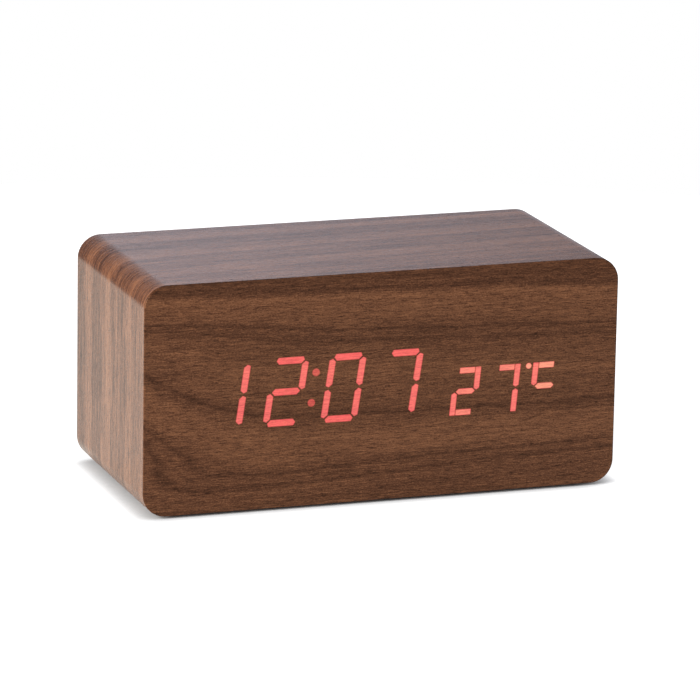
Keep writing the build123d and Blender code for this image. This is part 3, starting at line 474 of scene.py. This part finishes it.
# the light at a bar's core and at its edge, as linear red, green and blue
GLOWS = {
    "large_upright": ((0.79, 0.120, 0.122), (0.56, 0.050, 0.065)),
    "large_level": ((0.80, 0.095, 0.105), (0.60, 0.050, 0.065)),
    "small_upright": ((0.83, 0.145, 0.138), (0.58, 0.050, 0.060)),
    "small_level": ((0.84, 0.195, 0.158), (0.60, 0.060, 0.070)),
    "sign": ((0.87, 0.290, 0.198), (0.62, 0.080, 0.080)),
    "colon": ((0.50, 0.050, 0.055), (0.38, 0.030, 0.035)),
}
DARK = (0.0, 0.0, 0.0)


def glow_of(node, letter):
    """Which of the GLOWS a bar has. The small digits are paler, above all in their level bars."""
    way = "upright" if letter in "bcef" else "level"
    if "small" not in node:
        return "large_" + way
    if way == "level" and node.endswith("sign"):
        return "sign"
    return "small_" + way


def lit_bars():
    """Every lit bar as (outline, core light, edge light, spill)."""
    bars = []
    for node, letters in LIT.items():
        low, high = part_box(node)
        middle = Vector(((low[0] + high[0]) / 2, (low[2] + high[2]) / 2 - centre_z)) / MM
        spill = small_spill if "small" in node else large_spill
        for loop in front_loops(node):
            letter = letter_of(loop, middle)
            if letter in letters:
                bars.append((loop, *GLOWS[glow_of(node, letter)], spill))
    # the degree dot is the one farthest to the right
    *colon, degree = sorted(front_loops("light_guides_dots"), key=lambda loop: loop[0].x)
    for dot in colon:
        bars.append((dot, *GLOWS["colon"], large_spill))
    bars.append((degree, *GLOWS["sign"], small_spill))
    return bars


# ================================================================ pieces of veneer
def finished(name, mesh, material):
    """Turns a bmesh into an object, with every face turned outwards."""
    bmesh.ops.recalc_face_normals(mesh, faces=mesh.faces)
    data = bpy.data.meshes.new(name)
    mesh.to_mesh(data)
    mesh.free()
    data.materials.append(material)
    piece = bpy.data.objects.new(name, data)
    bpy.context.scene.collection.objects.link(piece)
    return piece


def skin(mesh, rings, closed=True):
    """Faces between successive rings of vertices."""
    count = len(rings[0])
    for near, far in zip(rings, rings[1:]):
        for index in range(count if closed else count - 1):
            following = (index + 1) % count
            mesh.faces.new((near[index], near[following], far[following], far[index])).smooth = True


def ring(mesh, loop, y):
    """Vertices at one y, along a loop of (x, z) about the case's centre."""
    return [mesh.verts.new((point.x, y, centre_z + point.y)) for point in loop]


def crease(vertices):
    """Keeps the shading of a flat face apart from the curved faces round it."""
    for a, b in zip(vertices, vertices[1:] + vertices[:1]):
        for edge in a.link_edges:
            if edge.other_vert(a) is b:
                edge.smooth = False


def lit_face(outline):
    """The flat front as points in mm and triangles that follow the bars, with each point's light."""
    inside_only = 1  # keeps only triangles within the outline
    closeness = 1e-5  # points this near in mm become one
    points = [point / MM for point in outline]
    lights = [DARK] * len(points)
    loops = [list(range(len(points)))]

    def add(loop, light):
        loops.append(list(range(len(points), len(points) + len(loop))))
        points.extend(loop)
        lights.extend([light] * len(loop))

    for loop, core, edge, spill in lit_bars():
        add(grown(loop, spill), DARK)
        add(loop, edge)
        add(grown(loop, -core_inset), core)
    edges = [(a, b) for loop in loops for a, b in zip(loop, loop[1:] + loop[:1])]
    spots, _, faces, origins, _, _ = delaunay_2d_cdt(points, edges, [], inside_only, closeness)
    return spots, faces, [lights[origin[0]] if origin else DARK for origin in origins]


def front_veneer(material):
    """The veneer face that the digits shine through."""
    mesh = bmesh.new()
    light_layer = mesh.verts.layers.float_color.new("led_light")
    grain_layer = mesh.verts.layers.float_vector.new("grain")
    outline = rounded_outline(half_width, half_height, corner_radius)
    rings = [ring(mesh, outline, core_front_y)]
    for step in range(arris_steps):
        angle = step / arris_steps * math.pi / 2
        inset = arris * (1 - math.cos(angle))
        y = front_y + arris * (1 - math.sin(angle))
        rings.append(ring(mesh, grown(outline, -inset), y))
    spots, faces, lights = lit_face(grown(outline, -arris))
    flat = ring(mesh, [spot * MM for spot in spots], front_y)
    for vertex, light in zip(flat, lights):
        vertex[light_layer] = (*light, 1.0)
    for face in faces:
        mesh.faces.new([flat[index] for index in face])
    rings.append(flat[: len(outline)])
    skin(mesh, rings)
    mesh.faces.new(rings[0])
    crease(rings[0])
    crease(rings[-1])
    for vertex in set(mesh.verts) - set(flat):
        vertex[light_layer] = (*DARK, 1.0)
    for vertex in mesh.verts:
        vertex[grain_layer] = (vertex.co.x / MM, (vertex.co.z - centre_z) / MM, 0.0)
    return finished("front_veneer_lit", mesh, material)


def opened(outline, base):
    """An outline opened at the seam in the base, from the seam's right side round to its left side."""
    lower_right = 3 * (corner_steps + 1)  # where the points of that corner begin
    turned = outline[lower_right:] + outline[:lower_right]
    return [Vector((seam / 2, base)), *turned, Vector((-seam / 2, base))]


def veneer_wrap(material):
    """The veneer strip round the four sides, from the seam under the base and back to it."""
    outside = rounded_outline(half_width, half_height, corner_radius)
    inside = rounded_outline(half_width - veneer, half_height - veneer, corner_radius - veneer)
    path = opened(outside, -half_height)
    inner_path = opened(inside, veneer - half_height)
    lengths = [0.0]
    for a, b in zip(path, path[1:]):
        lengths.append(lengths[-1] + (b - a).length)
    mesh = bmesh.new()
    grain_layer = mesh.verts.layers.float_vector.new("grain")

    def row(points, y):
        made = ring(mesh, points, y)
        for vertex, length in zip(made, lengths):
            vertex[grain_layer] = (length / MM, (core_rear_y - y) / MM, 0.0)
        return made

    rows = [row(path, core_front_y), row(path, core_rear_y)]
    rows += [row(inner_path, core_rear_y), row(inner_path, core_front_y)]
    skin(mesh, rows + rows[:1], closed=False)
    mesh.faces.new([line[0] for line in rows])
    mesh.faces.new([line[-1] for line in rows])
    for line in rows:
        crease(line)
    return finished("veneer_strip", mesh, material)


# ================================================================ materials of the carried-over nodes
# Sizes of noises are in mm along X, Y and Z.
blur = 0.1  # mm over which one colour passes into the next


def board_material(name):
    """Fibreboard: pale fibres pressed flat, with darker specks."""
    board = Shader(name)
    where = board.object_mm()
    fibre = board.noise(where, (1.6, 0.25, 0.35), seed=1.0, detail=4.0)
    specks = board.spread(board.noise(where, (0.5, 0.3, 0.5), seed=4.0), 0.62, 0.75)
    colour = board.shades(fibre, srgb(140, 104, 70), srgb(186, 150, 110))
    colour = board.mix(specks, colour, srgb(96, 66, 42))
    board.set(Base_Color=colour, Roughness=0.85)
    board.bump(fibre, 0.05)
    return board.material


def plastic_material(name, dark, light, roughness, texture=0.02):
    """Moulded plastic with a fine spark-eroded texture."""
    plastic = Shader(name)
    where = plastic.object_mm()
    texture_height = plastic.noise(where, (0.22, 0.22, 0.22), seed=2.0, detail=3.0, roughness=0.6)
    cloud = plastic.noise(where, (9.0, 9.0, 9.0), seed=6.0)
    plastic.set(Base_Color=plastic.shades(cloud, dark, light))
    plastic.set(Roughness=plastic.varied(texture_height, roughness - 0.06, roughness + 0.08))
    plastic.bump(texture_height, texture)
    return plastic.material


def metal_material(name, dark, light, roughness=0.28):
    """Plated metal with fine draw lines and a few duller patches."""
    metal = Shader(name)
    where = metal.object_mm()
    lines = metal.noise(where, (6.0, 0.12, 0.12), seed=3.0, detail=3.0)
    patches = metal.noise(where, (3.0, 3.0, 3.0), seed=9.0)
    metal.set(Base_Color=metal.shades(patches, dark, light), Metallic=1.0)
    metal.set(Roughness=metal.varied(lines, roughness - 0.08, roughness + 0.10))
    metal.bump(lines, 0.004)
    return metal.material


def solder_mask_material(name):
    """Green circuit board: mask over copper tracks, with a weave showing faintly."""
    board = Shader(name)
    where = board.object_mm()
    x, _, z = board.split(where)
    tracks = board.cells(where, (2.4, 50.0, 1.8))
    tracks = board.spread(tracks, 0.30, 0.34)
    weave_rate = 9.0  # radians per mm
    warp = board.math("SINE", board.math("MULTIPLY", x, weave_rate))
    weft = board.math("SINE", board.math("MULTIPLY", z, weave_rate))
    weave = board.math("MULTIPLY", warp, weft)
    colour = board.mix(tracks, srgb(34, 110, 66), srgb(16, 74, 44))
    colour = board.mix(board.spread(weave, 0.4, 1.0, 0.0, 0.25), colour, srgb(70, 132, 84))
    board.set(Base_Color=colour, Roughness=0.32, Coat_Weight=0.4, Coat_Roughness=0.15)
    board.bump(tracks, -0.03)
    return board.material


def chip_material(name):
    """Black epoxy package with a matt moulded face."""
    return plastic_material(name, srgb(26, 26, 28), srgb(36, 36, 38), roughness=0.62, texture=0.008)


def diffuser_material(name):
    """Milky light guide."""
    guide = Shader(name)
    where = guide.object_mm()
    cloud = guide.noise(where, (0.8, 0.8, 0.8), seed=2.5, detail=3.0)
    guide.set(Base_Color=guide.shades(cloud, srgb(228, 218, 214), srgb(244, 238, 234)))
    guide.set(Roughness=guide.varied(cloud, 0.35, 0.5), Subsurface_Weight=0.3, Subsurface_Scale=MM)
    guide.bump(cloud, 0.01)
    return guide.material


def rubber_material(name):
    """Matt black rubber with a rough skin."""
    rubber = Shader(name)
    where = rubber.object_mm()
    grain = rubber.noise(where, (0.3, 0.3, 0.3), seed=1.5, detail=4.0)
    rubber.set(Base_Color=rubber.shades(grain, srgb(30, 30, 31), srgb(52, 52, 53)))
    rubber.set(Roughness=rubber.varied(grain, 0.75, 0.95))
    rubber.bump(grain, 0.03)
    return rubber.material


def ceramic_material(name):
    """Pale fired body of the chip parts, with a fine grain."""
    ceramic = Shader(name)
    where = ceramic.object_mm()
    grain = ceramic.noise(where, (0.15, 0.15, 0.15), seed=2.0, detail=3.0)
    ceramic.set(Base_Color=ceramic.shades(grain, srgb(206, 202, 188), srgb(232, 228, 214)))
    ceramic.set(Roughness=ceramic.varied(grain, 0.3, 0.5))
    ceramic.bump(grain, 0.006)
    return ceramic.material


def wire_material(name, dark, light):
    """Soft insulation or resin, faintly clouded."""
    wire = Shader(name)
    where = wire.object_mm()
    cloud = wire.noise(where, (1.2, 1.2, 1.2), seed=3.5, detail=3.0)
    wire.set(Base_Color=wire.shades(cloud, dark, light))
    wire.set(Roughness=wire.varied(cloud, 0.35, 0.5))
    wire.bump(cloud, 0.01)
    return wire.material


def ribbon_material(name):
    """Grey ribbon with a ridge over each conductor and one red edge."""
    ribbon = Shader(name)
    where = ribbon.object_mm()
    x, _, _ = ribbon.split(where)
    pitch = 1.27
    first_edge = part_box("ribbon_cable")[0][0] / MM + pitch
    ridge = ribbon.math("SINE", ribbon.math("MULTIPLY", x, 2 * math.pi / pitch))
    colour = ribbon.mix(ribbon.spread(ridge, -0.6, 0.6), srgb(118, 118, 122), srgb(168, 168, 172))
    edge = ribbon.spread(x, first_edge, first_edge + blur, 1.0, 0.0)
    ribbon.set(Base_Color=ribbon.mix(edge, colour, srgb(170, 32, 30)), Roughness=0.5)
    ribbon.bump(ridge, 0.12)
    return ribbon.material


def jacket_material(name, node, plus_at_high):
    """A cell: steel poles, a copper-coloured collar at the plus end and a dark body, with no print."""
    low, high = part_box(node)
    cell = Shader(name)
    where = cell.object_mm()
    x, _, _ = cell.split(where)
    if plus_at_high:
        from_plus = cell.math("SUBTRACT", high[0] / MM, x)
    else:
        from_plus = cell.math("SUBTRACT", x, low[0] / MM)
    length = (high[0] - low[0]) / MM
    nub = 1.2
    collar_end = 13.0
    minus_pole = length - 0.3
    body = cell.spread(from_plus, collar_end - blur / 2, collar_end + blur / 2)
    shimmer = cell.noise(where, (5.0, 0.4, 0.4), seed=1.1, detail=2.0)
    copper = cell.shades(shimmer, srgb(176, 104, 52), srgb(206, 132, 74))
    dark = cell.shades(shimmer, srgb(24, 26, 30), srgb(38, 40, 46))
    colour = cell.mix(body, copper, dark)
    plus = cell.spread(from_plus, nub, nub + blur, 1.0, 0.0)
    minus = cell.spread(from_plus, minus_pole, minus_pole + blur)
    pole = cell.math("MAXIMUM", plus, minus)
    cell.set(Base_Color=cell.mix(pole, colour, srgb(196, 196, 192)))
    cell.set(Metallic=cell.spread(body, 0.0, 1.0, 0.9, 0.2))
    cell.set(Roughness=cell.varied(shimmer, 0.25, 0.38))
    cell.bump(shimmer, 0.004)
    return cell.material


def dress(names, material):
    """Gives CAD nodes a material in every slot."""
    for name in names:
        for slot in nodes[name].material_slots:
            slot.link = "OBJECT"
            slot.material = material


def dress_cad():
    """Gives every carried-over node its material."""
    black = plastic_material("abs_black", srgb(24, 24, 26), srgb(34, 34, 36), roughness=0.48)
    keys = plastic_material("abs_keys", srgb(40, 40, 43), srgb(54, 54, 57), roughness=0.40, texture=0.006)
    inner_black = plastic_material("nylon_black", srgb(30, 30, 32), srgb(42, 42, 44), roughness=0.55)
    nickel = metal_material("nickel", srgb(176, 172, 162), srgb(206, 202, 192))
    zinc = metal_material("black_zinc", srgb(58, 58, 62), srgb(88, 88, 92), roughness=0.34)
    tin = metal_material("tin", srgb(150, 150, 148), srgb(188, 188, 186), roughness=0.36)
    gold = metal_material("gold_plate", srgb(200, 158, 84), srgb(226, 186, 110), roughness=0.25)
    dress(["rear_veneer"], walnut("walnut_rear", rear_figure, flat=True).material)
    dress(["case_sleeve", "front_board", "rear_board"], board_material("fibreboard"))
    dress(["rear_cover", "battery_door"], black)
    dress(["button_set", "button_up", "button_down", "slider_knob"], keys)
    dress(["segment_mask", "switch_bodies", "slider_body", "usb_insert", "buzzer"], inner_black)
    dress(["switch_plunger_set", "switch_plunger_up", "switch_plunger_down"], keys)
    dress(["display_board", "control_board"], solder_mask_material("solder_mask"))
    dress(["display_drivers", "microcontroller", "ribbon_headers"], chip_material("epoxy"))
    dress(["battery_contacts", "battery_springs", "usb_shell"], nickel)
    dress(["cover_screws"], zinc)
    dress(["control_screws", "display_screws", "crystal", "microphone", "capacitor"], tin)
    dress(["usb_contacts"], gold)
    dress(["feet"], rubber_material("rubber"))
    dress(["display_leds", "chip_resistors"], ceramic_material("ceramic"))
    dress(["ribbon_cable"], ribbon_material("ribbon_grey"))
    dress(["battery_lead_red"], wire_material("insulation_red", srgb(150, 24, 22), srgb(188, 36, 32)))
    dress(["battery_lead_black"], wire_material("insulation_black", srgb(24, 24, 25), srgb(38, 38, 40)))
    dress(["temperature_sensor"], wire_material("epoxy_bead", srgb(30, 28, 30), srgb(52, 46, 48)))
    dress([name for name in nodes if name.startswith("light_guides")], diffuser_material("milky_guide"))
    # the cells lie head to tail
    for number, plus_at_high in ((1, True), (2, False), (3, True)):
        node = f"battery_cell_{number}"
        dress([node], jacket_material(f"cell_jacket_{number}", node, plus_at_high))


# ================================================================ camera, light and floor
camera_turn = math.radians(-19.42)  # round the clock, from straight in front to the left
camera_rise = math.radians(14.3894)
camera_roll = math.radians(1.005)
camera_distance = 1.559
camera_lens = 262.3  # in mm, as is the sensor
camera_sensor = 36.0
aim_right = 1.53 * MM  # from the case's middle to the picture's middle
aim_up = 2.51 * MM
floor_radius = 0.42
painted_shadow_reach = 6 * MM  # how far from the object the painted contact shadow on the floor reaches
# how steeply the painted contact shadow darkens towards the object
painted_shadow_power = 1.7
ground_glow = 0.92  # the floor's own light in a picture or a reflection
ground_seen = (0.985, 0.995, 1.0, 1.0)
ground_reflected = (0.87, 0.85, 0.75, 1.0)
room_colour = (0.84, 0.865, 1.0, 1.0)
room_level = 0.18
wall_level = 2.55
wall_turn = math.radians(8)  # from straight behind to the right
wall_way = (math.sin(wall_turn), math.cos(wall_turn), 0.0)
wall_edge = (0.93, 1.0)  # cosines of the angle from its way, between which it grows bright
wall_top = (0.26, 0.345)  # sines of the angle above level, between which it ends


def add_camera():
    """The photograph's camera: in front, to the left and above, with a long lens."""
    level_right = Vector((math.cos(camera_turn), math.sin(camera_turn), 0.0))
    level_back = Vector((math.sin(camera_turn), -math.cos(camera_turn), 0.0))
    back = math.cos(camera_rise) * level_back + Vector((0.0, 0.0, math.sin(camera_rise)))
    right = math.cos(camera_roll) * level_right + math.sin(camera_roll) * back.cross(level_right)
    up = back.cross(right)
    centre = Vector((0.0, 0.0, centre_z))
    place = centre + camera_distance * back
    aim = centre + aim_right * right + aim_up * up
    axis = (place - aim).normalized()
    side = (right - right.dot(axis) * axis).normalized()
    turn = Matrix((side, axis.cross(side), axis)).transposed().to_4x4()
    data = bpy.data.cameras.new("camera")
    data.lens = camera_lens
    data.sensor_width = camera_sensor
    camera = bpy.data.objects.new("camera", data)
    bpy.context.scene.collection.objects.link(camera)
    camera.matrix_world = Matrix.Translation(place) @ turn
    bpy.context.scene.camera = camera


def add_lamp(name, place, target, size, level, colour=(1.0, 1.0, 1.0)):
    """A soft box. Its level is how bright it makes a matt white surface that faces it at the target."""
    data = bpy.data.lights.new(name, "AREA")
    data.shape = "RECTANGLE"
    data.size, data.size_y = size
    place = Vector(place)
    reach = (place - Vector(target)).length
    data.energy = level * 4 * math.pi * reach**2
    data.color = colour
    lamp = bpy.data.objects.new(name, data)
    bpy.context.scene.collection.objects.link(lamp)
    lamp.location = place
    lamp.rotation_euler = (Vector(target) - place).to_track_quat("-Z", "Y").to_euler()


def add_lamps():
    """A large lamp at the left, a weak one in front, and one low at the right rear."""
    middle = (0.0, 0.0, centre_z)
    warm = (1.0, 0.985, 0.94)
    add_lamp("key_left", (-1.72, -0.68, 0.80), middle, size=(1.2, 1.0), level=1.32, colour=warm)
    add_lamp("fill_front", (0.5, -2.0, 1.0), middle, size=(1.6, 1.2), level=0.14)
    add_lamp("side_right_rear", (1.69, 0.98, 0.46), middle, size=(1.0, 0.8), level=0.55)


def floor_material():
    """Pale table top. To the camera and in reflections it glows white, and near the object that glow is
    dimmed into a painted contact shadow.
    """
    table = Shader("table_white")
    seen = table.node("ShaderNodeLightPath").outputs
    direct = table.math("MAXIMUM", seen["Is Camera Ray"], seen["Is Glossy Ray"])
    direct = table.math("MAXIMUM", direct, seen["Is Transmission Ray"])
    speckle = table.noise(table.object_mm(), (2.0, 2.0, 2.0), seed=1.0, detail=3.0)
    table.set(Base_Color=table.shades(speckle, srgb(186, 187, 189), srgb(192, 193, 195)))
    table.set(Roughness=0.9, Specular_IOR_Level=0.0)
    # ambient occlusion dims the floor's own glow near the object: a painted contact shadow, over the real
    # shadow in its diffuse light
    open_sky = table.node("ShaderNodeAmbientOcclusion", {"Distance": painted_shadow_reach}).outputs["AO"]
    painted_shadow = table.math("POWER", open_sky, painted_shadow_power)
    strength = table.math("MULTIPLY", table.math("MULTIPLY", direct, ground_glow), painted_shadow)
    tint = table.mix(seen["Is Glossy Ray"], ground_seen, ground_reflected)
    glow = table.node("ShaderNodeEmission", {"Color": tint, "Strength": strength})
    total = table.node("ShaderNodeAddShader", {0: table.surface.outputs[0], 1: glow.outputs[0]})
    table.feed(table.tree.nodes["Material Output"].inputs["Surface"], total.outputs[0])
    return table.material


def add_floor():
    """A round table top under the feet, with its face up."""
    mesh = bmesh.new()
    bmesh.ops.create_circle(mesh, cap_ends=True, segments=128, radius=floor_radius)
    floor = finished("table_top", mesh, floor_material())
    for polygon in floor.data.polygons:
        if polygon.normal.z < 0:
            polygon.flip()


def add_world():
    """White to the camera. For light and reflections, a dim room with a bright wall low at the rear."""
    world = bpy.data.worlds.new("studio")
    world.use_nodes = True
    bpy.context.scene.world = world
    studio = Nodes(world.node_tree)
    studio.tree.nodes.clear()
    seen = studio.node("ShaderNodeLightPath").outputs
    direct = studio.math("MAXIMUM", seen["Is Camera Ray"], seen["Is Transmission Ray"])
    way = studio.node("ShaderNodeTexCoord").outputs["Generated"]
    turned = studio.node("ShaderNodeVectorMath", {0: way, 1: wall_way}, operation="DOT_PRODUCT")
    _, _, rise = studio.split(way)
    ahead = studio.spread(turned.outputs["Value"], *wall_edge)
    low_down = studio.spread(rise, *wall_top, 1.0, 0.0)
    wall = studio.math("MULTIPLY", ahead, low_down)
    level = studio.math("MULTIPLY_ADD", wall, wall_level, room_level)
    room = studio.node("ShaderNodeBackground", {"Color": room_colour, "Strength": level})
    white = studio.node("ShaderNodeBackground", {"Color": (1.0, 1.0, 1.0, 1.0), "Strength": 1.0})
    choice = studio.node("ShaderNodeMixShader", {0: direct, 1: room.outputs[0], 2: white.outputs[0]})
    studio.node("ShaderNodeOutputWorld", {"Surface": choice.outputs[0]})


# ================================================================ the scene
add_camera()
add_lamps()
add_floor()
add_world()
bpy.context.scene.view_settings.view_transform = "Standard"

front = front_veneer(lit_walnut())
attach(front, "case")
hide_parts("front_veneer")

wrap = veneer_wrap(walnut("walnut_wrap", wrap_figure, contrast=1.15, lines=1.2, gloss=0.24).material)
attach(wrap, "case")
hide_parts("veneer_wrap")

dress_cad()
